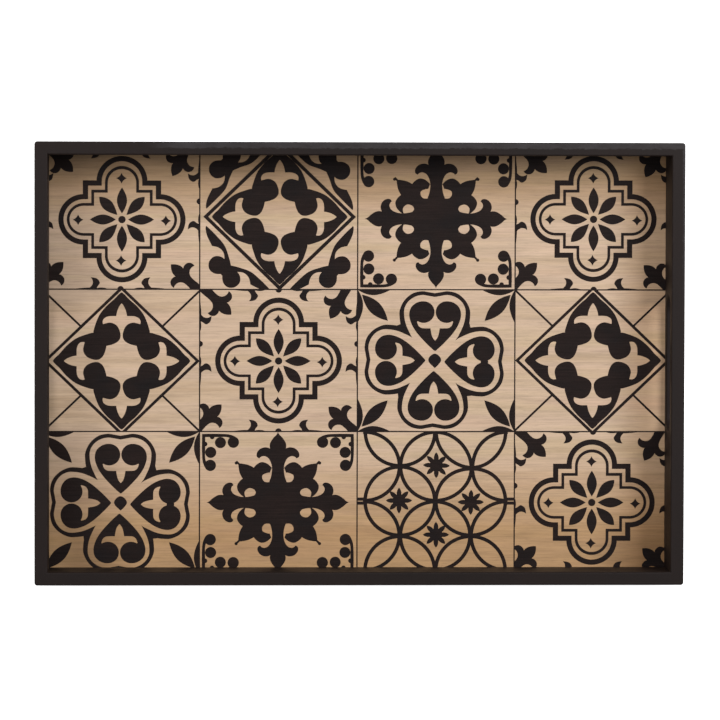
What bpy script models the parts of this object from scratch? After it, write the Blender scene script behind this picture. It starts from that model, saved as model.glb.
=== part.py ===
"""Rectangular wooden serving tray: four mitred walls, grooved to hold a veneered base panel.

Metres, +Z up. The origin is at the centre of the footprint, on the surface that the tray stands on.
X runs along the tray's length. The two end walls, at -X and +X, each have a hand-hole.
"""

import math

import bmesh
import bpy

# Driving dimensions.
TRAY_LENGTH = 0.440
TRAY_WIDTH = 0.300
WALL_HEIGHT = 0.052
WALL_THICKNESS = 0.009
CORNER_RADIUS = 0.002
TOP_EDGE_RADIUS = 0.001

# The gap between any two pieces that touch or are glued together.
CLEARANCE = 0.0003

# The felt pads lift the walls off the table.
PAD_THICKNESS = 0.0015
PAD_RADIUS = 0.004
PAD_FROM_CORNER = 0.020
WALL_BOTTOM = PAD_THICKNESS + CLEARANCE

# The base panel is a core with a veneer on each face, and its edges run in the walls' grooves.
GROOVE_DEPTH = 0.004
PANEL_ABOVE_WALL_BOTTOM = 0.005
CORE_THICKNESS = 0.0026
VENEER_THICKNESS = 0.0006
PANEL_BOTTOM = WALL_BOTTOM + PANEL_ABOVE_WALL_BOTTOM
CORE_BOTTOM = PANEL_BOTTOM + VENEER_THICKNESS + CLEARANCE
FACE_BOTTOM = CORE_BOTTOM + CORE_THICKNESS + CLEARANCE
PANEL_TOP = FACE_BOTTOM + VENEER_THICKNESS
PANEL_INSET = WALL_THICKNESS - GROOVE_DEPTH + CLEARANCE
PANEL_LENGTH = TRAY_LENGTH - 2 * PANEL_INSET
PANEL_WIDTH = TRAY_WIDTH - 2 * PANEL_INSET

# The hand-hole is a slot with round ends, and both of its rims are rounded over.
HOLE_LENGTH = 0.092
HOLE_HEIGHT = 0.024
HOLE_SILL = 0.008
HOLE_RIM_RADIUS = 0.002
HOLE_CENTRE = PANEL_TOP - WALL_BOTTOM + HOLE_SILL + HOLE_HEIGHT / 2

# Two brads pin each mitre, one driven along Y and one above it along X.
BRAD_LENGTH = 0.022
BRAD_RADIUS = 0.0008
BRAD_HEAD_RADIUS = 0.0013
BRAD_HEAD_THICKNESS = 0.0006
BRAD_SET_DEPTH = 0.0005
LOWER_BRAD_HEIGHT = 0.020
UPPER_BRAD_HEIGHT = 0.040

# Facets.
CORNER_STEPS = 4
EDGE_SEGMENTS = 3
HOLE_END_STEPS = 14
HOLE_RIM_STEPS = 5
BRAD_SIDES = 12
PAD_SIDES = 32
SMOOTH_ANGLE = math.radians(35)

# The tray's sides, as they go into the names of its pieces.
SIDES_X = {-1: "left", 1: "right"}
SIDES_Y = {-1: "front", 1: "back"}


def clear_scene():
    for obj in list(bpy.data.objects):
        bpy.data.objects.remove(obj)


def make_material(name, colour, roughness, metallic=0.0):
    material = bpy.data.materials.new(name)
    material.use_nodes = True
    shader = material.node_tree.nodes["Principled BSDF"]
    shader.inputs["Base Color"].default_value = (*colour, 1.0)
    shader.inputs["Roughness"].default_value = roughness
    shader.inputs["Metallic"].default_value = metallic
    return material


def make_object(name, bm, material=None):
    """Turns a bmesh into an object of the scene, with its normals facing out."""
    bmesh.ops.recalc_face_normals(bm, faces=bm.faces)
    mesh = bpy.data.meshes.new(name)
    bm.to_mesh(mesh)
    bm.free()
    obj = bpy.data.objects.new(name, mesh)
    bpy.context.scene.collection.objects.link(obj)
    if material:
        mesh.materials.append(material)
        mesh.shade_smooth()
        mesh.set_sharp_from_angle(angle=SMOOTH_ANGLE)
    return obj


def make_cutter(name, bm):
    """A helper solid that only cuts: it is hidden from renders and drawn as a wire."""
    cutter = make_object(name, bm)
    cutter.hide_render = True
    cutter.display_type = "WIRE"
    return cutter


def cut(obj, cutter):
    modifier = obj.modifiers.new("cut_" + cutter.name, "BOOLEAN")
    modifier.operation = "DIFFERENCE"
    modifier.solver = "EXACT"
    modifier.object = cutter


def box(low, high):
    """A bmesh block between two opposite corners."""
    bm = bmesh.new()
    bmesh.ops.create_cube(bm, size=1.0)
    for vert in bm.verts:
        vert.co = [a + (c + 0.5) * (b - a) for a, b, c in zip(low, high, vert.co)]
    return bm


def loft(loops):
    """A closed solid through loops of points that all have the same count."""
    bm = bmesh.new()
    rings = [[bm.verts.new(point) for point in loop] for loop in loops]
    for ring, following in zip(rings, rings[1:]):
        for i, vert in enumerate(ring):
            j = (i + 1) % len(ring)
            bm.faces.new((vert, ring[j], following[j], following[i]))
    bm.faces.new(rings[0])
    bm.faces.new(rings[-1])
    return bm


def arc(centre, radius, start, end, steps):
    """Points along an arc, both ends included, with its angles in degrees."""
    angles = [math.radians(start + (end - start) * i / steps) for i in range(steps + 1)]
    return [(centre[0] + radius * math.cos(a), centre[1] + radius * math.sin(a)) for a in angles]


def turned(profile, sides):
    """A solid turned about X from its (x, radius) profile."""
    angles = [math.tau * i / sides for i in range(sides)]
    return loft([[(x, r * math.cos(a), r * math.sin(a)) for a in angles] for x, r in profile])


def wall_outline(half_length):
    """A wall from above: its outer face at y = 0, half of each round corner, and the mitred ends."""
    end = half_length - CLEARANCE / 2 * math.sqrt(2)
    centre = (end - CORNER_RADIUS, CORNER_RADIUS)
    right = arc(centre, CORNER_RADIUS, -90, -45, CORNER_STEPS)
    right.append((end - WALL_THICKNESS, WALL_THICKNESS))
    return right + [(-x, y) for x, y in reversed(right)]


def wall_solid(half_length):
    """A wall standing on z = 0, its top edges eased wherever they don't meet a neighbour."""
    bm = bmesh.new()
    outline = wall_outline(half_length)
    bottom = bm.faces.new([bm.verts.new((x, y, 0.0)) for x, y in outline])
    raised = bmesh.ops.extrude_face_region(bm, geom=[bottom])["geom"]
    top = [item for item in raised if isinstance(item, bmesh.types.BMVert)]
    bmesh.ops.translate(bm, verts=top, vec=(0.0, 0.0, WALL_HEIGHT))

    def is_eased(edge):
        if any(vert.co.z < WALL_HEIGHT / 2 for vert in edge.verts):
            return False
        low, high = sorted(vert.co.y for vert in edge.verts)
        return high - low < CORNER_RADIUS

    bmesh.ops.bevel(
        bm,
        geom=[edge for edge in bm.edges if is_eased(edge)],
        offset=TOP_EDGE_RADIUS,
        segments=EDGE_SEGMENTS,
        profile=0.5,
        affect="EDGES",
    )
    return bm


def groove_cutter(name, half_length):
    """Cuts the groove for the base panel along a wall's inner face."""
    low = PANEL_BOTTOM - WALL_BOTTOM - CLEARANCE
    high = PANEL_TOP - WALL_BOTTOM + CLEARANCE
    reach = half_length + WALL_THICKNESS
    return make_cutter(
        name,
        box((-reach, WALL_THICKNESS - GROOVE_DEPTH, low), (reach, 2 * WALL_THICKNESS, high)),
    )


def slot_loop(y, grow):
    """The hand-hole's outline at depth y in the wall, larger than the slot by grow."""
    radius = HOLE_HEIGHT / 2
    reach = HOLE_LENGTH / 2 - radius
    right = arc((reach, HOLE_CENTRE), radius + grow, -90, 90, HOLE_END_STEPS)
    left = arc((-reach, HOLE_CENTRE), radius + grow, 90, 270, HOLE_END_STEPS)
    return [(x, y, z) for x, z in right + left]


def hand_hole_cutter(name):
    """A slot through the wall that flares at both faces, which rounds over the rims of the hole."""
    rim = HOLE_RIM_RADIUS
    half = WALL_THICKNESS / 2
    flare = [(-half - rim, rim)]
    for i in range(1, HOLE_RIM_STEPS + 1):
        turn = math.radians(90 * i / HOLE_RIM_STEPS)
        flare.append((-half + rim * (1 - math.cos(turn)), rim * (1 - math.sin(turn))))
    profile = flare + [(-y, grow) for y, grow in reversed(flare)]
    return make_cutter(name, loft([slot_loop(half + y, grow) for y, grow in profile]))


def place(obj, location, degrees):
    obj.location = location
    obj.rotation_euler = (0.0, 0.0, math.radians(degrees))


def make_walls(paint):
    """The four walls, each made along its own X and then turned into place, as {name: object}."""
    length, width = TRAY_LENGTH / 2, TRAY_WIDTH / 2
    places = {
        "front_wall": (length, (0.0, -width), 0),
        "right_end_wall": (width, (length, 0.0), 90),
        "back_wall": (length, (0.0, width), 180),
        "left_end_wall": (width, (-length, 0.0), -90),
    }
    walls = {}
    for name, (half_length, (x, y), degrees) in places.items():
        wall = make_object(name, wall_solid(half_length), paint)
        cutters = [groove_cutter(name + "_groove", half_length)]
        if "end" in name:
            cutters.append(hand_hole_cutter(name + "_hand_hole"))
        for obj in (wall, *cutters):
            place(obj, (x, y, WALL_BOTTOM), degrees)
        for cutter in cutters:
            cut(wall, cutter)
        walls[name] = wall
    return walls


def make_panel(core, face, back):
    """The base panel's three bonded layers, from the bottom up."""
    layers = (
        ("back_veneer", PANEL_BOTTOM, VENEER_THICKNESS, back),
        ("panel_core", CORE_BOTTOM, CORE_THICKNESS, core),
        ("face_veneer", FACE_BOTTOM, VENEER_THICKNESS, face),
    )
    x, y = PANEL_LENGTH / 2, PANEL_WIDTH / 2
    for name, bottom, thickness, material in layers:
        make_object(name, box((-x, -y, bottom), (x, y, bottom + thickness)), material)


def brad_profile(grow=0.0, proud=0.0):
    """A brad along X as (x, radius), its head's top at x = 0. Its hole's cutter grows and stands proud."""
    neck = BRAD_HEAD_THICKNESS + grow
    tip = BRAD_LENGTH + grow
    taper = 2 * BRAD_RADIUS
    return [
        (-proud, BRAD_HEAD_RADIUS + grow),
        (neck, BRAD_HEAD_RADIUS + grow),
        (neck, BRAD_RADIUS + grow),
        (tip - taper, BRAD_RADIUS + grow),
        (tip, (BRAD_RADIUS + grow) / 2),
    ]


def brad_places(side_x, side_y):
    """Where one corner's brads start and how they turn, as {level: (location, degrees)}."""
    x = TRAY_LENGTH / 2
    y = TRAY_WIDTH / 2
    middle = WALL_THICKNESS / 2
    through_long_wall = (
        side_x * (x - middle),
        side_y * (y - BRAD_SET_DEPTH),
        WALL_BOTTOM + LOWER_BRAD_HEIGHT,
    )
    through_end_wall = (
        side_x * (x - BRAD_SET_DEPTH),
        side_y * (y - middle),
        WALL_BOTTOM + UPPER_BRAD_HEIGHT,
    )
    return {
        "lower": (through_long_wall, -90 * side_y),
        "upper": (through_end_wall, 90 + 90 * side_x),
    }


def make_brads(steel, walls):
    """Both brads of each corner, with the holes that they make in the two walls they join."""
    for side_x, end_name in SIDES_X.items():
        for side_y, side_name in SIDES_Y.items():
            joined = (walls[side_name + "_wall"], walls[end_name + "_end_wall"])
            for level, (location, degrees) in brad_places(side_x, side_y).items():
                name = f"brad_{side_name}_{end_name}_{level}"
                brad = make_object(name, turned(brad_profile(), BRAD_SIDES), steel)
                hole = turned(brad_profile(CLEARANCE, 2 * BRAD_SET_DEPTH), BRAD_SIDES)
                cutter = make_cutter(name + "_hole", hole)
                for obj in (brad, cutter):
                    place(obj, location, degrees)
                for wall in joined:
                    cut(wall, cutter)


def make_pads(felt):
    """A round felt pad under each end of the two long walls."""
    circle = [math.tau * i / PAD_SIDES for i in range(PAD_SIDES)]
    x = TRAY_LENGTH / 2 - PAD_FROM_CORNER
    y = TRAY_WIDTH / 2 - WALL_THICKNESS / 2
    for side_x, end_name in SIDES_X.items():
        for side_y, side_name in SIDES_Y.items():
            loops = [
                [(PAD_RADIUS * math.cos(a), PAD_RADIUS * math.sin(a), z) for a in circle]
                for z in (0.0, PAD_THICKNESS)
            ]
            pad = make_object(f"felt_pad_{side_name}_{end_name}", loft(loops), felt)
            pad.location = (side_x * x, side_y * y, 0.0)


def main():
    clear_scene()
    paint = make_material("frame_paint", (0.024, 0.018, 0.016), 0.42)
    walls = make_walls(paint)
    make_panel(
        core=make_material("panel_core", (0.30, 0.20, 0.12), 0.80),
        face=make_material("face_veneer", (0.56, 0.40, 0.27), 0.50),
        back=make_material("back_veneer", (0.36, 0.24, 0.14), 0.65),
    )
    make_brads(make_material("brad_steel", (0.50, 0.50, 0.52), 0.35, metallic=1.0), walls)
    make_pads(make_material("felt", (0.03, 0.03, 0.03), 0.95))


main()
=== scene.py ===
"""The looks of a wooden serving tray with a printed cement-tile pattern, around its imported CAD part.

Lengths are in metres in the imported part's frame: +X to the right end wall, +Y to the back wall, +Z up.
The printed motifs are drawn in millimetres about the middle of their tile.
"""
import math

import bmesh
import bpy
from mathutils import Matrix, Vector
from mathutils.geometry import delaunay_2d_cdt


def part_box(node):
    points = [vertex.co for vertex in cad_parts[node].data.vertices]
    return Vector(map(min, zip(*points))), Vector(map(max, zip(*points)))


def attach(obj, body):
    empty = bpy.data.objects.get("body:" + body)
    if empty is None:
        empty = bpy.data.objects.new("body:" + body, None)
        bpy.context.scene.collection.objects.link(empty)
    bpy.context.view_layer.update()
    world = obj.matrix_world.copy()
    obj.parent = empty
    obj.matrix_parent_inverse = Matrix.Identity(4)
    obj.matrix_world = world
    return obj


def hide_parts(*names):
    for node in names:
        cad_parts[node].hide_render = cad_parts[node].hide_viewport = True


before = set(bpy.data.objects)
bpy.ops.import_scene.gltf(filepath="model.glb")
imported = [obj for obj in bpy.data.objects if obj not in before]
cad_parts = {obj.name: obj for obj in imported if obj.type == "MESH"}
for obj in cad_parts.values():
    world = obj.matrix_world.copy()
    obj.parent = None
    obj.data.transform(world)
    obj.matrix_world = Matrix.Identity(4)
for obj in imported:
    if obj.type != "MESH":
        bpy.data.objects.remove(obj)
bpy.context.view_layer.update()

MM = 0.001

# The camera: where it stands, what it looks at, its roll and its lens.
CAMERA_PLACE = Vector((-0.132946, 0.127993, 3.3))
CAMERA_TARGET = Vector((0.0019217, 0.0007236, 0.0))
CAMERA_ROLL = 0.0024787
CAMERA_LENS = 240.51
CAMERA_SENSOR = 36.0
CAMERA_CLIP = 20.0

# The lights: each one's name, place, size and power in watts. Then the world's strength, the glow of
# the floor and half its width.
LIGHTS = (
    ("right_light", (0.97, 0.52, 1.30), (0.72, 0.72), 19.5),
    ("left_light", (-0.97, 0.52, 1.30), (0.90, 0.90), 12.0),
    ("back_light", (0.0, 0.76, 1.52), (1.2, 0.8), 3.6),
)
WORLD_STRENGTH = 0.40
FLOOR_GLOW = 0.80
FLOOR_HALF = 3.0

# The print, in millimetres but for the ink: the size of a tile, where the pattern's middle lies, the
# lines between the tiles, and how far the print runs on under the walls.
TILE_X = 108.0
TILE_Y = 97.3
PATTERN_X = -0.3
PATTERN_Y = 0.75
EDGE_X = TILE_X / 2
EDGE_Y = TILE_Y / 2
LINE_WIDTH = 0.85
LINE_REACH = 250.0
TILE_CLEARANCE = 0.01
WELL_MARGIN = 1.0
INK_THICKNESS = 0.08 * MM
INK_SINK = 0.02 * MM

# Smooth outlines: the steps between two of their points, and the knots between which each round of
# blending works. Then how near to each other, in millimetres, two points count as one.
CURVE_STEPS = 6
BLEND_SPANS = (((0, 1), (1, 2), (2, 3)), ((0, 2), (1, 3)), ((1, 2),))
MIRROR_TOLERANCE = 1e-6
MERGE_TOLERANCE = 1e-5

# The marks on a tile's upright edges: their length against those on its level edges, and how much
# higher than the edge's middle they stand.
UPRIGHT_STRETCH = 0.94
UPRIGHT_LIFT = 11.4

# The walls, as the CAD part has them, and the finer shapes of their edges. Angles are in degrees, and
# steps are what an arc, or half a wall's length, is split into.
WALL_THICKNESS = 9 * MM
CORNER_RADIUS = 2 * MM
CORNER_STEPS = 5
RIM_RADIUS = 1.0 * MM
RIM_STEPS = 6
FOOT_RADIUS = 0.5 * MM
FOOT_STEPS = 3
SPAN_STEPS = 8
GROOVE_DEPTH = 4 * MM
PANEL_GAP = 0.3 * MM
JOINT_GAP = 0.002 * MM
HOLE_LENGTH = 92 * MM
HOLE_HEIGHT = 24 * MM
HOLE_MIDDLE = 31.2 * MM
HOLE_STEPS = 24
HOLE_RIM = 2 * MM
HOLE_RIM_STEPS = 8
HOLE_RIM_START = 6
CUT_PAST = 1 * MM
DIMPLE_BALL = 8 * MM
DIMPLE_SUBDIVISIONS = 5
DIMPLE_DEPTH = 0.15 * MM
SHARP_ANGLE = 40

# Where a painted highlight, a grey sheen, lies on the paint, from none to full: how far along the back
# rim and the right one, how far in from the outer face of each, and how high up. The last is how ragged
# the inner edge is.
SHEEN_BACK = (-0.148, -0.120)
SHEEN_RIGHT = (0.02, 0.13)
SHEEN_IN_BACK = (0.0046, 0.0040)
SHEEN_IN_RIGHT = (0.0016, 0.0012)
SHEEN_HEIGHT = (0.0525, 0.0532)
SHEEN_RAGGED = 0.0045

# How the veneer is darker towards the front, back and right walls: the axis, where the darkening starts
# and
# # where it is full, and its tint. At the back and right walls it is painted shade; at the front it is
# only darker.
EDGE_DARKENING = (
    ("Y", (-0.050, -0.125), (0.81, 0.68, 0.48)),
    ("Y", (0.088, 0.124), (0.75, 0.67, 0.54)),
    ("X", (0.168, 0.200), (0.98, 0.90, 0.80)),
)

# At the left a band of painted shade clears again near the wall, and painted light through the hand-hole
# # takes it away within its reach.
LEFT_SHADE = (-0.146, -0.180)
LEFT_CLEAR = (-0.189, -0.206)
LEFT_HOLE_LIGHT = (0.034, 0.052)
LEFT_SHADE_TINT = (0.87, 0.86, 0.85)

# Painted shade makes the two front corners darker still: from where along X at the right, and from where
# # along Y.
RIGHT_CORNER_SHADE = (0.155, 0.176)
FRONT_CORNER_SHADE = (-0.104, -0.130)
CORNER_SHADE_TINT = (0.76, 0.74, 0.72)


def add(p, q, scale=1.0):
    return (p[0] + scale * q[0], p[1] + scale * q[1])


def blended(a, b, low, high, t):
    """The point as far on the way from a to b as t is from low to high."""
    return tuple(((high - t) * m + (t - low) * n) / (high - low) for m, n in zip(a, b))


def through(points):
    """A smooth curve through points, a centripetal Catmull-Rom one. Two points give a straight line."""
    if len(points) == 2:
        return list(points)
    before = tuple(3 * (a - b) + c for a, b, c in zip(*points[:3]))
    after = tuple(3 * (a - b) + c for a, b, c in zip(*points[:-4:-1]))
    guides = [before, *points, after]
    curve = [points[0]]
    for four_points in zip(guides, guides[1:], guides[2:], guides[3:]):
        knots = [0.0]
        for a, b in zip(four_points, four_points[1:]):
            knots.append(knots[-1] + math.dist(a, b) ** 0.5)
        for i in range(1, CURVE_STEPS + 1):
            t = knots[1] + (knots[2] - knots[1]) * i / CURVE_STEPS
            level = four_points
            for spans in BLEND_SPANS:
                level = [
                    blended(a, b, knots[low], knots[high], t)
                    for (low, high), a, b in zip(spans, level, level[1:])
                ]
            curve.append(level[0])
    return curve


def joined(runs, corner):
    """Smooth runs, each from the last one's end, or from corner, through its points to a new corner."""
    points = []
    for run in runs:
        points += through([corner, *run])[1:]
        corner = run[-1]
    return points


def outline(*runs):
    """A closed outline of smooth runs with a corner between each two."""
    return joined(runs, runs[-1][-1])


def flipped(point):
    return (point[0], -point[1])


def swapped(point):
    return (point[1], point[0])


def folded(mirror, start, *runs):
    """An outline that a mirror line halves. The runs are its first half, from start."""
    half = [start, *joined(runs, start)]
    return half + [mirror(p) for p in reversed(half) if math.dist(p, mirror(p)) > MIRROR_TOLERANCE]


def arc(centre, radius, start, end, steps):
    angles = [math.radians(start + (end - start) * i / steps) for i in range(steps + 1)]
    return [(centre[0] + radius * math.cos(a), centre[1] + radius * math.sin(a)) for a in angles]


def disc(x, y, radius, steps=40):
    return arc((x, y), radius, 0, 360 - 360 / steps, steps - 1)


def scaled(shape, x, y):
    return [(x * p, y * q) for p, q in shape]


def moved(shape, x, y):
    return [(p + x, q + y) for p, q in shape]


def turned(shape, degrees):
    c, s = math.cos(math.radians(degrees)), math.sin(math.radians(degrees))
    return [(c * x - s * y, s * x + c * y) for x, y in shape]


def four(shape):
    """A shape of the first quadrant, in all four."""
    return [scaled(shape, x, y) for x in (1, -1) for y in (1, -1)]


def ways(shape):
    """A shape that points along +X, pointing each of the four ways."""
    return [turned(shape, 90 * i) for i in range(4)]


def leaf(root, tip, half_width, widest=0.5):
    """A pointed leaf from root to tip."""
    length = math.dist(root, tip)
    along = ((tip[0] - root[0]) / length, (tip[1] - root[1]) / length)
    across = (-along[1], along[0])
    middle = add(root, along, widest * length)
    return outline([add(middle, across, -half_width), tip], [add(middle, across, half_width), root])


def bar(start, end, width):
    length = math.dist(start, end)
    across = ((start[1] - end[1]) / length * width / 2, (end[0] - start[0]) / length * width / 2)
    return [add(start, across, -1), add(end, across, -1), add(end, across), add(start, across)]


def at_corners(shape):
    """A shape drawn from the tile's corner inwards, at all four corners."""
    return four([(EDGE_X - x, EDGE_Y - y) for x, y in shape])


def at_sides(shape):
    """A shape drawn from the middle of an edge (x along it, y inwards), on all four edges."""
    level = [moved(scaled(shape, 1, side), 0, -side * EDGE_Y) for side in (1, -1)]
    across = [swapped(p) for p in scaled(shape, UPRIGHT_STRETCH, 1)]
    upright = [moved(scaled(across, side, 1), -side * EDGE_X, UPRIGHT_LIFT) for side in (1, -1)]
    return level + upright


def both_corners(shape):
    """A shape and its mirror image about the corner's diagonal, at all four corners."""
    return at_corners(shape) + at_corners([swapped(p) for p in shape])


def inked(*groups):
    return [(True, shape) for group in groups for shape in group]


def cleared(*groups):
    return [(False, shape) for group in groups for shape in group]


def quatrefoil(inset):
    """Four round lobes around a square, whose corners stand out between them."""
    half, reach, radius = 26.7 - inset, 26.0, 17.4 - inset
    lobe = arc((reach, 0), radius, -90, 90, 24)
    side = [(half, -half), (half, -radius), *lobe, (half, radius)]
    return [p for i in range(4) for p in turned(side, 90 * i)]


def star(points, radius, waist):
    """A star with hollow sides."""
    step = 360 / points
    runs = []
    for i in range(points):
        runs.append(turned([(waist, 0)], step * (i + 0.5)) + turned([(radius, 0)], step * (i + 1)))
    return outline(*runs)


def quatrefoil_tile():
    """A flower of eight petals in a double quatrefoil, with a star in each lobe. The inner line and the
    lower half are a little squat."""
    layers = inked([quatrefoil(0)]) + cleared([quatrefoil(3.6)])
    layers += inked([scaled(quatrefoil(5.8), 1, 0.972)]) + cleared([scaled(quatrefoil(7.7), 1, 0.965)])
    layers = [(ink, [(x, y if y > 0 else 0.988 * y) for x, y in shape]) for ink, shape in layers]
    petal = leaf((4.2, 0), (21.9, 0), 3.45)
    slanted = turned(leaf((4.4, 0), (21.9, 0), 3.65, 0.58), 45)
    layers += inked(ways(petal), ways(slanted), [disc(0, 0, 2.5)])
    stars = ((29.9, -0.8), (-29.9, -0.2), (-0.3, 28.2), (-0.6, -28.0))
    return layers + inked([moved(star(4, 3.7, 2.0), x, y) for x, y in stars])


def quatrefoil_border():
    """Fleurs in the corners of a quatrefoil tile, and a bump, two hooks and two swashes on each edge."""
    layers = []
    for side, level, angle, tip in FLEURS:
        flower = moved(turned(fleur(), angle), *tip)
        layers += inked([[(side * (EDGE_X - x), level * (EDGE_Y - y)) for x, y in flower]])
    bump = disc(0, 0, 2.2)
    hook = outline(
        [(15.8, 1.8), (14.2, 4.3), (15.9, 7.1), (20.4, 8.1)],
        [(19.1, 6.1), (19.0, 3.9), (20.5, 1.6), (24.0, -0.6)],
        [(16.6, -0.6)],
    )
    swash = outline(
        [(21.0, 1.1), (34.5, 0.0)],
        [(34.5, -0.6)],
        [(8.0, -0.6)],
        [(8.0, 0.0)],
        [(12.5, 1.1), (17.0, 0.5)],
    )
    for mark in (bump, hook, swash, scaled(hook, -1, 1), scaled(swash, -1, 1)):
        layers += inked(at_sides(mark))
    return layers


# The corner fleurs of a quatrefoil tile: which side (1 right, -1 left), which level (1 top, -1 bottom),
# the angle of the leaf, and where its tip is, inwards from the corner.
FLEURS = (
    (-1, 1, 44, (21.6, 17.3)),
    (1, 1, 62, (18.7, 20.0)),
    (-1, -1, 45, (15.0, 18.5)),
    (1, -1, 43, (19.7, 17.0)),
)


def fleur():
    """A fleur along +X with its tip at the origin: a stem, a curl on each side, a pointed leaf."""
    return folded(
        flipped,
        (-28.0, 3.6),
        [(-22.5, 3.3), (-17.9, 3.0), (-14.6, 3.5), (-12.6, 5.2), (-11.8, 7.6), (-12.4, 10.4)],
        [(-9.6, 10.2), (-7.6, 8.4), (-7.2, 5.8), (-8.0, 3.8)],
        [(-5.4, 3.7), (-2.6, 2.4), (0.0, 0.0)],
    )


def diamond(x, y):
    return [(x, 0), (0, y), (-x, 0), (0, -y)]


def ogee_cross(frame_size, band):
    """A pointed cross in a diamond frame, opened in the middle and towards each point."""
    wide, high = frame_size
    layers = inked([diamond(wide, high)]) + cleared([diamond(wide - band, high - band)])
    run = [(45.0, 1.9), (42.1, 4.6), (37.4, 9.9), (31.0, 15.0), (23.6, 18.0), (19.0, 19.0)]
    point = joined([run], (46.3, 0))
    side = [flipped(p) for p in reversed(point[:-1])] + [(46.3, 0)] + point
    cut = folded(
        flipped,
        (17.0, 8.0),
        [(24.7, 12.5)],
        [(26.6, 12.8), (28.5, 12.0), (30.0, 9.4), (30.3, 3.6)],
        [(33.8, 2.9), (37.0, 1.5), (38.9, 0.0)],
    )
    knob = folded(
        swapped,
        (10.2, 10.2),
        [
            (5.6, 11.4), (2.7, 13.0), (1.0, 15.3), (0.75, 17.9), (1.5, 20.9),
            (2.9, 23.5), (5.3, 25.3), (7.9, 25.9), (10.6, 25.4), (13.0, 24.7),
        ],
    )
    neck = bar((12.0, 0), (21.0, 0), 1.3)
    layers += inked([around(side)]) + cleared(ways(cut), [disc(0, 0, 17.5)]) + inked(four(knob))
    return layers + cleared(ways(neck))


def scroll_tile():
    """An ogee cross with a scroll in each corner. The upper two have thicker stems."""
    cross = ogee_cross((52.2, 50.4), 3.4)
    low, high = scroll(33.3, 34.9), scroll(32.2, 34.5)
    scrolls = [scaled(low, side, -1) for side in (1, -1)]
    scrolls += [moved(high, -0.4, -1.5), moved(scaled(high, -1, 1), 0.2, -0.7)]
    return cross + inked(scrolls)


def scroll(start, stem):
    """Two pointed stems that meet on the diagonal, with a round knob on each."""
    return folded(
        swapped,
        (start, start),
        [(stem, 27.0), (2.7 + stem, 19.8), (43.4, 12.8), (50.2, 6.2)],
        [(50.2, 11.0), (46.2, 20.0)],
        [(41.2, 21.4), (38.4, 24.5), (37.8, 28.9)],
        [(40.8, 27.1), (45.0, 27.3), (48.2, 30.8), (48.2, 35.5), (45.2, 38.5), (40.3, 39.2)],
    )


def lattice_tile():
    """An ogee cross with a bar from its diamond to each corner of the tile."""
    cross = [(ink, scaled(shape, 1.012, 1.012)) for ink, shape in ogee_cross((52.8, 50.6), 2.8)]
    return cross + inked(four(bar((28.0, 23.8), (56.0, 50.6), 1.4)))


def snowflake_tile():
    """A snowflake with four arms, and in each corner two brackets with three berries each."""
    quarter = folded(
        swapped,
        (0.0, 0.0),
        [(20.0, 2.0)],
        [(24.4, 4.4)],
        [(27.4, 7.8), (28.2, 11.5), (26.6, 14.6), (24.3, 16.6)],
        [(26.3, 20.5), (27.1, 24.3), (27.2, 26.2)],
        [(29.3, 28.3)],
    )
    closed = outline([(22.9, 7.8), (20.0, 10.4), (16.4, 9.4), (15.3, 7.0), (17.2, 4.6), (22.4, 4.0)])
    opened = outline(
        [(10.6, 19.9), (8.0, 21.4), (5.6, 21.8)],
        [(4.4, 25.0)],
        [(1.5, 24.0)],
        [(3.0, 16.0)],
        [(6.0, 14.9), (9.0, 15.1), (10.7, 17.2)],
    )
    arm = folded(
        flipped,
        (0.0, 6.5),
        [(15.0, 5.4)],
        [
            (19.0, 4.2), (24.0, 3.8), (28.0, 4.6), (31.0, 6.3),
            (32.3, 8.8), (31.8, 10.8), (30.7, 11.8),
        ],
        [(31.8, 13.4), (34.4, 13.5), (37.3, 11.4), (38.4, 8.0), (37.5, 5.0)],
        [(41.0, 5.1), (45.0, 2.9), (47.4, 0.8), (49.4, 0.0)],
    )
    bracket = outline(
        [(3.8, 3.8)],
        [(3.8, 12.0), (3.9, 19.0), (5.2, 22.0), (8.0, 24.0)],
        [(7.5, 27.1)],
        [(4.6, 25.8), (2.3, 21.5), (1.6, 14.0), (1.7, 1.6)],
    )
    layers = inked(four(quarter), four(disc(28.8, 28.8, 1.1)))
    layers += cleared(four(closed), four(opened))
    layers = [(ink, scaled(shape, 1.0, 0.94 if shape[0][1] > 0 else 0.98)) for ink, shape in layers]
    upper, lower = scaled(turned(arm, 90), 1.08, 0.985), scaled(turned(arm, 270), 1.03, 0.965)
    layers += inked([arm, scaled(arm, -1, 1), upper, lower])
    layers += inked(both_corners(bracket))
    for x, y, radius in ((7.3, 23.2, 3.9), (7.6, 14.3, 3.8), (3.7, 8.6, 1.6)):
        layers += inked(both_corners(disc(x, y, radius)))
    return [(ink, scaled(shape, 0.992, 1.0)) for ink, shape in layers]


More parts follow.
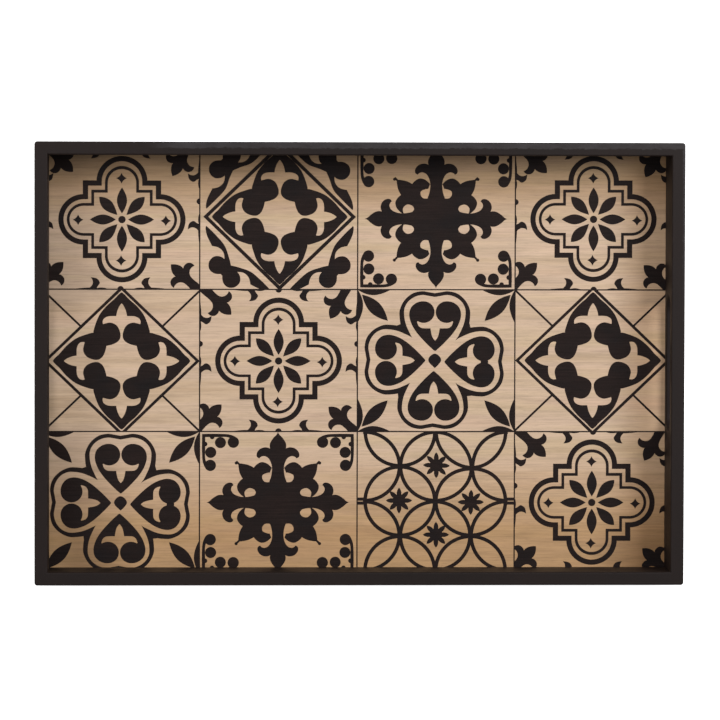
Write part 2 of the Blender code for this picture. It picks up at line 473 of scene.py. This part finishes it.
def heart_tile():
    """Four hearts around a stone, each in an outline that runs on into the next one's. The ink has run
    together between the right heart's knobs."""
    run = [
        (46.9, 4.5), (47.5, 8.7), (45.9, 15.4), (41.0, 21.0),
        (34.4, 24.1), (29.4, 24.2), (24.6, 23.6),
    ]
    edge = joined([run], (46.1, 0.0))
    side = [flipped(p) for p in reversed(edge[:-1])] + [(46.1, 0.0)] + edge
    room = folded(
        flipped,
        (43.5, 0.0),
        [
            (44.3, 4.4), (44.9, 8.6), (43.5, 14.0), (40.1, 18.5), (35.4, 20.9),
            (30.0, 21.0), (24.6, 19.9), (19.8, 17.9), (15.6, 15.8),
        ],
        [(10.0, 11.6)],
        [(0.0, 1.6)],
    )
    heart = folded(
        flipped,
        (6.5, 0.0),
        [
            (8.5, 2.6), (13.0, 7.2), (19.2, 12.6), (25.0, 16.1), (31.4, 17.8),
            (36.4, 16.7), (39.7, 13.3), (41.0, 8.8), (40.0, 4.2), (37.4, 1.5), (33.6, 0.4),
        ],
    )
    cut = folded(
        flipped,
        (13.7, 0.0),
        [(15.7, 1.6), (17.9, 2.4), (22.2, 3.2)],
        [(22.2, 6.5), (22.5, 9.4), (23.9, 11.3), (26.9, 12.4)],
        [(30.0, 6.0)],
        [(35.8, 0.9)],
    )
    stone = outline(
        [(-4.4, 0.4), (-3.2, 3.2), (0.0, 5.0), (3.2, 3.2), (4.4, 0.4), (2.6, -2.6), (0.0, -5.0)],
        [(-2.6, -2.6)],
    )
    rooms = [moved(shape, *slip) for shape, slip in zip(ways(room), OUTLINE_SLIPS)]
    layers = inked([around(side, OUTLINE_SLIPS)]) + cleared(rooms)
    parts = [heart, cut, disc(33.5, 7.9, 7.5), disc(33.5, -7.9, 7.5)]
    for i, slip in enumerate(HEART_SLIPS):
        body, light, *knobs = [moved(turned(shape, 90 * i), *slip) for shape in parts]
        layers += inked([body]) + cleared([light]) + inked(knobs)
    run_together = disc(34.2, HEART_SLIPS[0][1], 2.6)
    return [(ink, scaled(shape, 0.998, 0.985)) for ink, shape in layers + inked([stone, run_together])]


# How far the right, top, left and bottom outline of a heart tile slipped, and the hearts in them.
OUTLINE_SLIPS = ((0.0, -0.5), (0.0, 0.9), (-0.7, 0.8), (-1.3, 0.0))
HEART_SLIPS = ((0.2, -0.7), (0.2, 0.4), (0.0, 0.3), (-0.7, -0.7))


def heart_border():
    """Leaves in the corners of a heart tile, and half leaves along its edges beside them."""
    half_leaf = outline([(10.0, 3.8), (22.2, 0.4)], [(22.2, -0.6)], [(-1.0, -0.6)])
    return inked(at_corners(leaf((3.0, 3.4), (20.8, 21.4), 4.3)), both_corners(half_leaf))


def ring(x, y, radius, width):
    """A ring, as the two halves of its band."""
    outer = arc((x, y), radius + width / 2, 0, 180, 32)
    inner = arc((x, y), radius - width / 2, 180, 0, 32)
    half = outer + inner
    return [half, [(2 * x - p, 2 * y - q) for p, q in half]]


def ring_tile():
    """Overlapping rings that all but touch in round nodes, with a bloom in the middle of four of them,
    and only a double bar in each side margin. The node at the upper right is a little too low."""
    step = 24.3
    margin = 49.7
    grid = [(i * step, j * step, (i + j) % 2) for i in range(-2, 3) for j in range(-3, 4)]
    layers = []
    for x, y, is_ring in grid:
        layers += inked(ring(x, y, step - 0.4, 2.5) if is_ring else [disc(x, y, 1.9)])
    strip = [(margin, -60), (60, -60), (60, 60), (margin, 60)]
    layers += cleared([scaled(strip, side, 1) for side in (1, -1)])
    layers += inked(four(bar((47.0, 1.4), (56.0, 1.4), 2.2)))
    petal = leaf((0, 0), (9.0, 0), 1.6, 0.60)
    bloom = [turned(petal, 45 * i) for i in range(8)] + [disc(0, 0, 4.5)]
    for x, y in ((step, -0.6), (-step - 0.6, 0.4), (0.5, step + 0.9), (0.5, 0.8 - step)):
        layers += inked([moved(shape, x, y) for shape in bloom])
    layers = [(ink, pulled(shape, (step, step), (0.8, -1.3), 12.0)) for ink, shape in layers]
    return [(ink, scaled(shape, 1.0, 0.983)) for ink, shape in layers]


def pulled(shape, centre, pull, reach):
    """A shape pulled aside, in full at the centre and less with the distance from it."""
    shares = [math.exp(-0.5 * (math.dist(p, centre) / reach) ** 2) for p in shape]
    return [add(p, pull, share) for p, share in zip(shape, shares)]


def around(side, slips=((0, 0),) * 4):
    """An outline of four equal sides, from the one that faces +X, each slipped a little."""
    return [p for i, slip in enumerate(slips) for p in moved(turned(side, 90 * i), *slip)]


def film_mesh(name, layers, window, top):
    """A thin closed film of ink where the last layer that covers a place is inked, inside a window.

    The window is (left, bottom, right, top) in millimetres, and so are the layers' outlines."""
    left, bottom, right, upper = window
    frame_shape = [(left, bottom), (right, bottom), (right, upper), (left, upper)]
    shapes = [frame_shape] + [counter_clockwise(shape) for _, shape in layers]
    points = []
    faces = []
    for shape in shapes:
        faces.append(list(range(len(points), len(points) + len(shape))))
        points += [Vector(p) for p in shape]
    found = delaunay_2d_cdt(points, [], faces, 1, MERGE_TOLERANCE)
    corners, triangles, inside = found[0], found[2], found[5]
    kept = []
    for triangle, covers in zip(triangles, inside):
        if 0 in covers and len(covers) > 1 and layers[max(covers) - 1][0]:
            kept.append(triangle)
    return solid_film(name, corners, kept, top)


def counter_clockwise(shape):
    area = sum(a[0] * b[1] - b[0] * a[1] for a, b in zip(shape, shape[1:] + shape[:1]))
    return list(shape) if area > 0 else list(reversed(shape))


def solid_film(name, corners, triangles, top):
    """A closed solid from flat triangles. A corner where two areas only touch becomes two corners."""
    sides = {}
    for i, triangle in enumerate(triangles):
        for k in range(3):
            edge = (triangle[k], triangle[(k + 1) % 3])
            sides[edge] = i
    group = {(i, v): (i, v) for i, triangle in enumerate(triangles) for v in triangle}

    def first(key):
        while group[key] != key:
            key = group[key]
        return key

    for (a, b), i in sides.items():
        j = sides.get((b, a))
        if j is not None:
            for v in (a, b):
                group[first((i, v))] = first((j, v))
    places = {}
    vertices = []
    for key in group:
        root = first(key)
        if root not in places:
            places[root] = len(vertices)
            x, y = corners[key[1]]
            vertices.append((x * MM, y * MM, top))
    count = len(vertices)
    low = top - INK_THICKNESS
    vertices += [(x, y, low) for x, y, _ in vertices]
    faces = []
    for i, triangle in enumerate(triangles):
        face = [places[first((i, v))] for v in triangle]
        faces.append(face)
        faces.append([v + count for v in reversed(face)])
    for (a, b), i in sides.items():
        if (b, a) not in sides:
            p, q = places[first((i, a))], places[first((i, b))]
            faces.append([q, p, p + count, q + count])
    mesh = bpy.data.meshes.new(name)
    mesh.from_pydata(vertices, [], faces)
    mesh.validate()
    return mesh


def new_material(name):
    """A material, and its node tree with the shader in it."""
    material = bpy.data.materials.new(name)
    material.use_nodes = True
    return material, material.node_tree


def add_node(tree, kind, inputs=None, **settings):
    """A shader node, with values or other nodes' sockets put into its inputs."""
    node = tree.nodes.new("ShaderNode" + kind)
    for key, value in settings.items():
        setattr(node, key, value)
    for key, value in (inputs or {}).items():
        if isinstance(value, bpy.types.NodeSocket):
            tree.links.new(value, node.inputs[key])
        else:
            node.inputs[key].default_value = value
    return node


def calculate(tree, operation, a, b, clamp=False):
    return add_node(tree, "Math", {0: a, 1: b}, operation=operation, use_clamp=clamp).outputs[0]


def noise(tree, place, sizes, detail=2.0, roughness=0.5):
    """Noise with lumps of about the given size along each axis, in metres."""
    scale = [1 / size for size in sizes]
    spot = add_node(tree, "Mapping", {"Vector": place, "Scale": scale}).outputs[0]
    settings = {"Vector": spot, "Scale": 1.0, "Detail": detail, "Roughness": roughness}
    return add_node(tree, "TexNoise", settings).outputs["Fac"]


def ramp(tree, factor, *stops):
    """A colour, or a grey for a plain number, that goes through the stops as the factor rises."""
    node = add_node(tree, "ValToRGB", {"Fac": factor})
    elements = node.color_ramp.elements
    while len(elements) < len(stops):
        elements.new(0.5)
    for element, (position, colour) in zip(elements, stops):
        element.position = position
        element.color = (*colour, 1) if isinstance(colour, tuple) else (colour, colour, colour, 1)
    return node.outputs["Color"]


def mix(tree, blend, factor, a, b):
    node = add_node(tree, "Mix", {0: factor}, data_type="RGBA", blend_type=blend)
    for socket, value in ((node.inputs[6], a), (node.inputs[7], b)):
        if isinstance(value, bpy.types.NodeSocket):
            tree.links.new(value, socket)
        else:
            socket.default_value = (*value, 1)
    return node.outputs[2]


def shaded(tree, tones, factor, *stops):
    """The tones, darker or lighter as the grey that the factor's stops give."""
    return mix(tree, "MULTIPLY", 1.0, tones, ramp(tree, factor, *stops))


def rise(tree, value, limits):
    """A smooth step from 0 at the first limit to 1 at the second."""
    settings = {"Value": value, "From Min": limits[0], "From Max": limits[1]}
    return add_node(tree, "MapRange", settings, interpolation_type="SMOOTHSTEP").outputs["Result"]


def bump(tree, height, distance, strength=1.0):
    settings = {"Height": height, "Distance": distance, "Strength": strength}
    return add_node(tree, "Bump", settings).outputs["Normal"]


def set_shader(tree, **inputs):
    shader = tree.nodes["Principled BSDF"]
    for key, value in inputs.items():
        socket = shader.inputs[key.replace("_", " ")]
        if isinstance(value, bpy.types.NodeSocket):
            tree.links.new(value, socket)
        else:
            socket.default_value = value


def veneer_material(name, shade):
    """Pale hardwood veneer under a thin satin varnish, with its grain along X. It is darker towards the
    front.
    Painted shade darkens it towards the back and right walls, in a band at the left that painted light
    through the hand-hole breaks, and still more in the two front corners."""
    material, tree = new_material(name)
    place = add_node(tree, "TexCoord").outputs["Object"]
    spread = add_node(tree, "SeparateXYZ", {"Vector": place})
    bands = noise(tree, place, (0.40, 0.016, 0.05), 3.0, 0.55)
    tones = ramp(
        tree,
        bands,
        (0.28, (0.395, 0.270, 0.166)),
        (0.42, (0.478, 0.341, 0.228)),
        (0.52, (0.498, 0.356, 0.252)),
        (0.64, (0.475, 0.345, 0.222)),
        (0.78, (0.420, 0.290, 0.180)),
    )
    blush = noise(tree, place, (0.16, 0.011, 0.05), 2.0)
    tones = mix(tree, "MIX", ramp(tree, blush, (0.52, 0.0), (0.72, 0.5)), tones, (0.500, 0.335, 0.235))
    figure = noise(tree, place, (0.034, 0.0034, 0.02), 4.0, 0.62)
    tones = shaded(tree, tones, figure, (0.32, 0.87), (0.5, 1.0), (0.7, 1.09))
    streaks = noise(tree, place, (0.040, 0.0010, 0.01), 4.0, 0.65)
    tones = shaded(tree, tones, streaks, (0.3, 0.83), (0.52, 1.0), (0.75, 1.09))
    pores = noise(tree, place, (0.007, 0.00045, 0.004), 2.0, 0.6)
    tones = shaded(tree, tones, pores, (0.30, 0.84), (0.42, 1.0))
    tones = mix(tree, "MULTIPLY", 1.0, tones, (shade, shade, shade))
    # Painted shade of the back and right walls; towards the front the veneer is only darker.
    for axis, limits, tint in EDGE_DARKENING:
        tones = mix(tree, "MULTIPLY", rise(tree, spread.outputs[axis], limits), tones, tint)
    # Painted shade: a band along the left wall, clearing near it, with painted light through the left
    # hand-hole taken out of it.
    left = rise(tree, spread.outputs["X"], LEFT_SHADE)
    clear = rise(tree, spread.outputs["X"], LEFT_CLEAR)
    left = calculate(tree, "SUBTRACT", left, clear, True)
    sheen_mottle_and_hole_light = rise(tree, calculate(tree, "ABSOLUTE", spread.outputs["Y"], 0.0), LEFT_HOLE_LIGHT)
    left = calculate(tree, "MULTIPLY", left, sheen_mottle_and_hole_light)
    tones = mix(tree, "MULTIPLY", left, tones, LEFT_SHADE_TINT)
    # Painted shade in the two front corners, at the left from the same band.
    ends = calculate(tree, "MAXIMUM", left, rise(tree, spread.outputs["X"], RIGHT_CORNER_SHADE))
    corners = calculate(tree, "MULTIPLY", ends, rise(tree, spread.outputs["Y"], FRONT_CORNER_SHADE))
    tones = mix(tree, "MULTIPLY", corners, tones, CORNER_SHADE_TINT)
    rough = ramp(tree, streaks, (0.3, 0.52), (0.7, 0.42))
    relief = calculate(tree, "ADD", calculate(tree, "MULTIPLY", streaks, 0.4), pores)
    set_shader(
        tree,
        Base_Color=tones,
        Roughness=rough,
        Normal=bump(tree, relief, 0.00006, 0.6),
        Specular_IOR_Level=0.35,
    )
    return material


def ink_material():
    """Brown-black printing ink on the varnished veneer. The wood's grain shows through a little."""
    material, tree = new_material("printing_ink")
    place = add_node(tree, "TexCoord").outputs["Object"]
    cloud = noise(tree, place, (0.030, 0.020, 0.02), 4.0, 0.6)
    tones = ramp(
        tree,
        cloud,
        (0.3, (0.0165, 0.0100, 0.0088)),
        (0.5, (0.0142, 0.0094, 0.0086)),
        (0.7, (0.0112, 0.0090, 0.0092)),
    )
    streaks = noise(tree, place, (0.030, 0.0010, 0.01), 3.0, 0.6)
    tones = shaded(tree, tones, streaks, (0.3, 0.75), (0.7, 1.30))
    specks = noise(tree, place, (0.0006, 0.0005, 0.0006), 2.0)
    tones = shaded(tree, tones, specks, (0.35, 0.8), (0.7, 1.15))
    rough = ramp(tree, cloud, (0.3, 0.50), (0.7, 0.40))
    set_shader(
        tree,
        Base_Color=tones,
        Roughness=rough,
        Normal=bump(tree, streaks, 0.00004, 0.5),
        Specular_IOR_Level=0.06,
    )
    return material


def paint_material():
    """Satin brown-black paint with fine orange peel, and a painted grey sheen along the outer edges of
    the back and right rims."""
    material, tree = new_material("frame_paint")
    place = add_node(tree, "TexCoord").outputs["Object"]
    spread = add_node(tree, "SeparateXYZ", {"Vector": place})
    cloud = noise(tree, place, (0.060, 0.060, 0.03), 4.0, 0.6)
    tones = ramp(tree, cloud, (0.3, (0.0112, 0.0060, 0.0050)), (0.7, (0.0086, 0.0053, 0.0046)))
    # Painted highlight: a grey sheen along the outer edges of the back and right rims, with a ragged
    # inner edge.
    ragged = noise(tree, place, (0.0050, 0.0022, 0.0030), 4.0, 0.7)
    ragged = calculate(tree, "MULTIPLY", calculate(tree, "SUBTRACT", ragged, 0.5), SHEEN_RAGGED)
    right, back = outer_corner(1)
    across = calculate(tree, "ADD", spread.outputs["Y"], ragged)
    painted_sheen = rise(tree, across, [back - depth for depth in SHEEN_IN_BACK])
    painted_sheen = calculate(tree, "MULTIPLY", painted_sheen, rise(tree, spread.outputs["X"], SHEEN_BACK))
    along = calculate(tree, "ADD", spread.outputs["X"], ragged)
    side = rise(tree, along, [right - depth for depth in SHEEN_IN_RIGHT])
    side = calculate(tree, "MULTIPLY", side, rise(tree, spread.outputs["Y"], SHEEN_RIGHT))
    painted_sheen = calculate(tree, "MAXIMUM", painted_sheen, side)
    painted_sheen = calculate(tree, "MULTIPLY", painted_sheen, rise(tree, spread.outputs["Z"], SHEEN_HEIGHT))
    # The painted sheen's grey, mottled.
    sheen_mottle_and_hole_light = noise(tree, place, (0.012, 0.004, 0.004), 3.0, 0.6)
    grey = ramp(tree, sheen_mottle_and_hole_light, (0.3, (0.020, 0.0165, 0.017)), (0.7, (0.033, 0.029, 0.030)))
    tones = mix(tree, "MIX", painted_sheen, tones, grey)
    peel = noise(tree, place, (0.0011, 0.0011, 0.0011), 3.0, 0.55)
    tones = shaded(tree, tones, peel, (0.3, 0.85), (0.7, 1.12))
    rough = ramp(tree, cloud, (0.3, 0.58), (0.7, 0.50))
    set_shader(
        tree,
        Base_Color=tones,
        Roughness=rough,
        Normal=bump(tree, peel, 0.00005, 0.5),
        Specular_IOR_Level=0.16,
    )
    return material


def core_material():
    """Raw fibreboard, which only the panel's edges would show."""
    material, tree = new_material("panel_core")
    place = add_node(tree, "TexCoord").outputs["Object"]
    fibres = noise(tree, place, (0.0015, 0.0015, 0.0004), 4.0, 0.65)
    tones = ramp(tree, fibres, (0.3, (0.250, 0.160, 0.090)), (0.7, (0.400, 0.280, 0.180)))
    set_shader(tree, Base_Color=tones, Roughness=0.8, Normal=bump(tree, fibres, 0.00015, 0.7))
    return material


def steel_material():
    """Steel wire, with fine draw marks."""
    material, tree = new_material("brad_steel")
    place = add_node(tree, "TexCoord").outputs["Object"]
    marks = noise(tree, place, (0.0004, 0.0004, 0.0004), 3.0)
    tones = ramp(tree, marks, (0.3, (0.10, 0.09, 0.085)), (0.7, (0.22, 0.20, 0.19)))
    rough = ramp(tree, marks, (0.3, 0.35), (0.7, 0.55))
    set_shader(tree, Base_Color=tones, Metallic=1.0, Roughness=rough, Normal=bump(tree, marks, 0.00003))
    return material


def felt_material():
    """Dark pressed felt."""
    material, tree = new_material("felt")
    place = add_node(tree, "TexCoord").outputs["Object"]
    fuzz = noise(tree, place, (0.0005, 0.0005, 0.0005), 4.0, 0.7)
    tones = ramp(tree, fuzz, (0.3, (0.012, 0.011, 0.011)), (0.7, (0.045, 0.042, 0.040)))
    set_shader(tree, Base_Color=tones, Roughness=0.95, Normal=bump(tree, fuzz, 0.0002), Sheen_Weight=0.3)
    return material


def floor_material():
    """Pale, matt studio card that glows a little, as if it was lit from below."""
    material, tree = new_material("studio_card")
    place = add_node(tree, "TexCoord").outputs["Object"]
    tooth = noise(tree, place, (0.004, 0.004, 0.004), 3.0)
    tones = ramp(tree, tooth, (0.3, 0.93), (0.7, 0.95))
    set_shader(tree, Base_Color=tones, Roughness=0.9, Specular_IOR_Level=0.1)
    set_shader(tree, Emission_Color=(1, 1, 1, 1), Emission_Strength=FLOOR_GLOW)
    return material


def look_at(place, target, roll):
    """The rotation and place of something that looks from place to target, with +Y up."""
    forward = (target - place).normalized()
    right = forward.cross(Vector((0, 1, 0))).normalized()
    up = right.cross(forward)
    turned_right = math.cos(roll) * right + math.sin(roll) * up
    turned_up = math.cos(roll) * up - math.sin(roll) * right
    rows = Matrix((turned_right, turned_up, -forward)).transposed().to_4x4()
    rows.translation = place
    return rows


def add_camera():
    data = bpy.data.cameras.new("camera")
    data.sensor_width = CAMERA_SENSOR
    data.lens = CAMERA_LENS
    data.clip_end = CAMERA_CLIP
    camera = bpy.data.objects.new("camera", data)
    camera.matrix_world = look_at(CAMERA_PLACE, CAMERA_TARGET, CAMERA_ROLL)
    bpy.context.scene.collection.objects.link(camera)
    bpy.context.scene.camera = camera


def add_lights():
    """The area lights, which all face the tray's middle, and the world's even light."""
    for name, place, size, power in LIGHTS:
        data = bpy.data.lights.new(name, "AREA")
        data.shape = "RECTANGLE"
        data.size, data.size_y = size
        data.energy = power
        light = bpy.data.objects.new(name, data)
        light.matrix_world = look_at(Vector(place), Vector((0, 0, 0)), 0)
        bpy.context.scene.collection.objects.link(light)
    world = bpy.data.worlds.new("studio")
    world.use_nodes = True
    background = world.node_tree.nodes["Background"]
    background.inputs["Color"].default_value = (1, 1, 1, 1)
    background.inputs["Strength"].default_value = WORLD_STRENGTH
    bpy.context.scene.world = world


# Each tile's motif, with how far the hand-laid screen slipped to the right and upwards.
TILES = (
    (
        (quatrefoil_tile, 0.9, -1.1),
        (scroll_tile, 0.6, 1.0),
        (snowflake_tile, -0.3, -0.2),
        (quatrefoil_tile, -0.3, -0.3),
    ),
    (
        (lattice_tile, 0.7, -0.4),
        (quatrefoil_tile, 0.0, -0.3),
        (heart_tile, -1.0, -0.1),
        (lattice_tile, -0.4, 0.2),
    ),
    (
        (heart_tile, 0.0, -0.6),
        (snowflake_tile, -0.3, 0.0),
        (ring_tile, -0.3, 0.9),
        (quatrefoil_tile, -0.7, -0.1),
    ),
)

# What is printed along a tile's edges, in line with them however its middle slipped.
BORDERS = {quatrefoil_tile: quatrefoil_border, heart_tile: heart_border}


def add_piece(name, mesh, material):
    piece = bpy.data.objects.new(name, mesh)
    mesh.materials.append(material)
    bpy.context.scene.collection.objects.link(piece)
    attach(piece, "root")
    return piece


def well_edges():
    """The visible base's left, bottom, right and top edges, in millimetres."""
    left, front = outer_corner(0)
    right, back = outer_corner(1)
    wall = WALL_THICKNESS
    return tuple(edge / MM for edge in (left + wall, front + wall, right - wall, back - wall))


def add_print(material):
    """The twelve printed tiles and the lines between them."""
    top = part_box("face_veneer")[1].z + INK_THICKNESS - INK_SINK
    left, bottom, right, upper = well_edges()
    well = (left - WELL_MARGIN, bottom - WELL_MARGIN, right + WELL_MARGIN, upper + WELL_MARGIN)
    for row, tiles in enumerate(TILES):
        for column, (tile, slip_x, slip_y) in enumerate(tiles):
            x = PATTERN_X + (column - (len(tiles) - 1) / 2) * TILE_X
            y = PATTERN_Y + ((len(TILES) - 1) / 2 - row) * TILE_Y
            layers = [(ink, moved(shape, x + slip_x, y + slip_y)) for ink, shape in tile()]
            if tile in BORDERS:
                layers += [(ink, moved(shape, x, y)) for ink, shape in BORDERS[tile]()]
            half_x = EDGE_X - LINE_WIDTH / 2 - TILE_CLEARANCE
            half_y = EDGE_Y - LINE_WIDTH / 2 - TILE_CLEARANCE
            window = (
                max(x - half_x, well[0]),
                max(y - half_y, well[1]),
                min(x + half_x, well[2]),
                min(y + half_y, well[3]),
            )
            name = f"print_{row}_{column}_{tile.__name__}"
            add_piece(name, film_mesh(name, layers, window, top), material)
    upright = bar((PATTERN_X, -LINE_REACH), (PATTERN_X, LINE_REACH), LINE_WIDTH)
    level = bar((-LINE_REACH, PATTERN_Y), (LINE_REACH, PATTERN_Y), LINE_WIDTH)
    lines = [moved(upright, i * TILE_X, 0) for i in (-1, 0, 1)]
    lines += [moved(level, 0, i * TILE_Y) for i in (-0.5, 0.5)]
    add_piece("print_lines", film_mesh("print_lines", inked(lines), well, top), material)


def outer_corner(end):
    """The walls' outer corner: 0 for the front left one, 1 for the back right one."""
    across, deep = (("left_end_wall", "front_wall"), ("right_end_wall", "back_wall"))[end]
    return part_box(across)[end].x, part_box(deep)[end].y


def wall_section():
    """A wall's cross-section with its panel groove: (depth from the outer face, height) points."""
    low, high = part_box("front_wall")[0].z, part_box("front_wall")[1].z
    groove_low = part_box("back_veneer")[0].z - PANEL_GAP
    groove_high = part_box("face_veneer")[1].z + PANEL_GAP
    wall, top, foot = WALL_THICKNESS, RIM_RADIUS, FOOT_RADIUS
    section = arc((foot, low + foot), foot, 180, 270, FOOT_STEPS)
    section += arc((wall - foot, low + foot), foot, 270, 360, FOOT_STEPS)
    section += [(wall, groove_low), (wall - GROOVE_DEPTH, groove_low)]
    section += [(wall - GROOVE_DEPTH, groove_high), (wall, groove_high)]
    section += arc((wall - top, high - top), top, 0, 90, RIM_STEPS)
    section += arc((top, high - top), top, 90, 180, RIM_STEPS)
    return section


def wall_stations(half):
    """For each cut across a wall: how far along it is outside and inside, and how deep it starts."""
    stations = []
    for i in range(CORNER_STEPS + 1):
        turn = math.radians(45 * i / CORNER_STEPS)
        start = CORNER_RADIUS * (1 - math.cos(turn))
        outside = half - CORNER_RADIUS * (1 - math.sin(turn)) - JOINT_GAP
        inside = half - CORNER_RADIUS * (1 - i / CORNER_STEPS) - WALL_THICKNESS - JOINT_GAP
        stations.append((outside, inside, start))
    middle = []
    for k in range(1 - SPAN_STEPS, SPAN_STEPS):
        middle.append((half * k / SPAN_STEPS, half * k / SPAN_STEPS, 0.0))
    return [(-a, -b, start) for a, b, start in reversed(stations)] + middle + stations


def loft_faces(rings, count):
    """The faces of a solid swept through rings of count points each, with a cap at both ends."""
    faces = []
    for i in range(rings - 1):
        for k in range(count):
            a, b = i * count + k, i * count + (k + 1) % count
            faces.append((a, b, b + count, a + count))
    faces.append(tuple(range(count)))
    faces.append(tuple(reversed(range((rings - 1) * count, rings * count))))
    return faces


def wall_mesh(name, half, turn, middle):
    """One mitred wall. Its outer face is turned by a number of quarter turns from the front."""
    section = wall_section()
    stations = wall_stations(half)
    vertices = []
    for outside, inside, start in stations:
        for depth, height in section:
            share = depth / WALL_THICKNESS
            along = outside + (inside - outside) * share
            deep = start + (WALL_THICKNESS - start) * share
            vertices.append((along, deep - middle, height))
    mesh = bpy.data.meshes.new(name)
    mesh.from_pydata(vertices, [], loft_faces(len(stations), len(section)))
    mesh.transform(Matrix.Rotation(math.radians(90 * turn), 4, "Z"))
    tidy_normals(mesh)
    return mesh


def tidy_normals(mesh):
    work = bmesh.new()
    work.from_mesh(mesh)
    bmesh.ops.recalc_face_normals(work, faces=work.faces)
    work.to_mesh(mesh)
    work.free()
    mesh.shade_smooth()
    mesh.set_sharp_from_angle(angle=math.radians(SHARP_ANGLE))


def stadium(grow):
    """A hand hole's outline, grown outwards: (along the wall, height) about its middle."""
    radius = HOLE_HEIGHT / 2
    reach = HOLE_LENGTH / 2 - radius
    right = arc((reach, 0), radius + grow, -90, 90, HOLE_STEPS)
    return right + [(-x, -z) for x, z in right]


def hole_cutter():
    """What a hand hole takes out of the right end wall: a slot that widens in an arc at both faces."""
    right = outer_corner(1)[0]
    rim = []
    for i in range(HOLE_RIM_STEPS + 1):
        angle = math.radians(HOLE_RIM_START + (90 - HOLE_RIM_START) * i / HOLE_RIM_STEPS)
        rim.append((HOLE_RIM * (1 - math.cos(angle)), HOLE_RIM * (1 - math.sin(angle))))
    sweep = [(-CUT_PAST, rim[0][1])] + rim
    sweep += [(WALL_THICKNESS - depth, grow) for depth, grow in reversed(sweep)]
    vertices = []
    for depth, grow in sweep:
        vertices += [(right - depth, along, HOLE_MIDDLE + up) for along, up in stadium(grow)]
    return vertices, loft_faces(len(sweep), len(stadium(0)))


def dimple_cutter(node, across):
    """The shallow dimple in the filler over a brad's head: a flat lens sunk in the outer face."""
    low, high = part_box(node)
    centre = (low + high) / 2
    axis = 0 if across else 1
    side = 1 if centre[axis] > 0 else -1
    face = outer_corner(1 if side > 0 else 0)[axis]
    centre[axis] = face + side * (DIMPLE_BALL - DIMPLE_DEPTH)
    spot = Matrix.Translation(centre)
    work = bmesh.new()
    bmesh.ops.create_icosphere(work, subdivisions=DIMPLE_SUBDIVISIONS, radius=DIMPLE_BALL, matrix=spot)
    found = ([v.co.copy() for v in work.verts], [tuple(v.index for v in f.verts) for f in work.faces])
    work.free()
    return found


def cut(piece, cutters):
    """Takes the cutters out of a piece, and keeps the result as its mesh."""
    scratch = []
    for vertices, faces in cutters:
        mesh = bpy.data.meshes.new("cutter")
        mesh.from_pydata(vertices, [], faces)
        tidy_normals(mesh)
        cutter = bpy.data.objects.new("cutter", mesh)
        bpy.context.scene.collection.objects.link(cutter)
        step = piece.modifiers.new("cut", "BOOLEAN")
        step.object = cutter
        step.solver = "EXACT"
        scratch.append(cutter)
    graph = bpy.context.evaluated_depsgraph_get()
    result = bpy.data.meshes.new_from_object(piece.evaluated_get(graph))
    piece.modifiers.clear()
    old = piece.data
    piece.data = result
    bpy.data.meshes.remove(old)
    for cutter in scratch:
        bpy.data.objects.remove(cutter)
    result.shade_smooth()
    result.set_sharp_from_angle(angle=math.radians(SHARP_ANGLE))
    normals = piece.modifiers.new("normals", "WEIGHTED_NORMAL")
    normals.keep_sharp = True


def add_walls(material):
    """The four painted walls, in place of the CAD ones, with crisp mitres and round rims."""
    right, back = outer_corner(1)
    walls = (
        ("front_wall", right, 0, back),
        ("right_end_wall", back, 1, right),
        ("back_wall", right, 2, back),
        ("left_end_wall", back, 3, right),
    )
    hole = hole_cutter()
    mirrored = ([(-x, y, z) for x, y, z in hole[0]], hole[1])
    cutters = {"right_end_wall": [hole], "left_end_wall": [mirrored], "front_wall": [], "back_wall": []}
    for name in sorted(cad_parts):
        if name.startswith("brad_"):
            _, depth_side, end, level = name.split("_")
            across = level == "upper"
            wall = f"{end}_end_wall" if across else f"{depth_side}_wall"
            cutters[wall].append(dimple_cutter(name, across))
    for node, half, turn, middle in walls:
        name = "painted_" + node
        piece = add_piece(name, wall_mesh(name, half, turn, middle), material)
        cut(piece, cutters[node])
        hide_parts(node)


def add_floor():
    """The studio floor that the tray stands on."""
    mesh = bpy.data.meshes.new("floor")
    half = FLOOR_HALF
    corners = [(-half, -half, 0), (half, -half, 0), (half, half, 0), (-half, half, 0)]
    mesh.from_pydata(corners, [], [(0, 1, 2, 3)])
    floor = bpy.data.objects.new("floor", mesh)
    mesh.materials.append(floor_material())
    bpy.context.scene.collection.objects.link(floor)


def finish_nodes(paint):
    """The carried-over CAD nodes get their materials."""
    finishes = {
        "wall": paint,
        "face_veneer": veneer_material("face_veneer", 1.0),
        "back_veneer": veneer_material("back_veneer", 0.9),
        "panel_core": core_material(),
        "brad": steel_material(),
        "felt_pad": felt_material(),
    }
    for name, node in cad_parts.items():
        key = next(key for key in finishes if key in name)
        node.data.materials.clear()
        node.data.materials.append(finishes[key])


def main():
    bpy.context.scene.view_settings.view_transform = "Standard"
    add_camera()
    add_lights()
    add_floor()
    paint = paint_material()
    finish_nodes(paint)
    add_walls(paint)
    add_print(ink_material())


main()
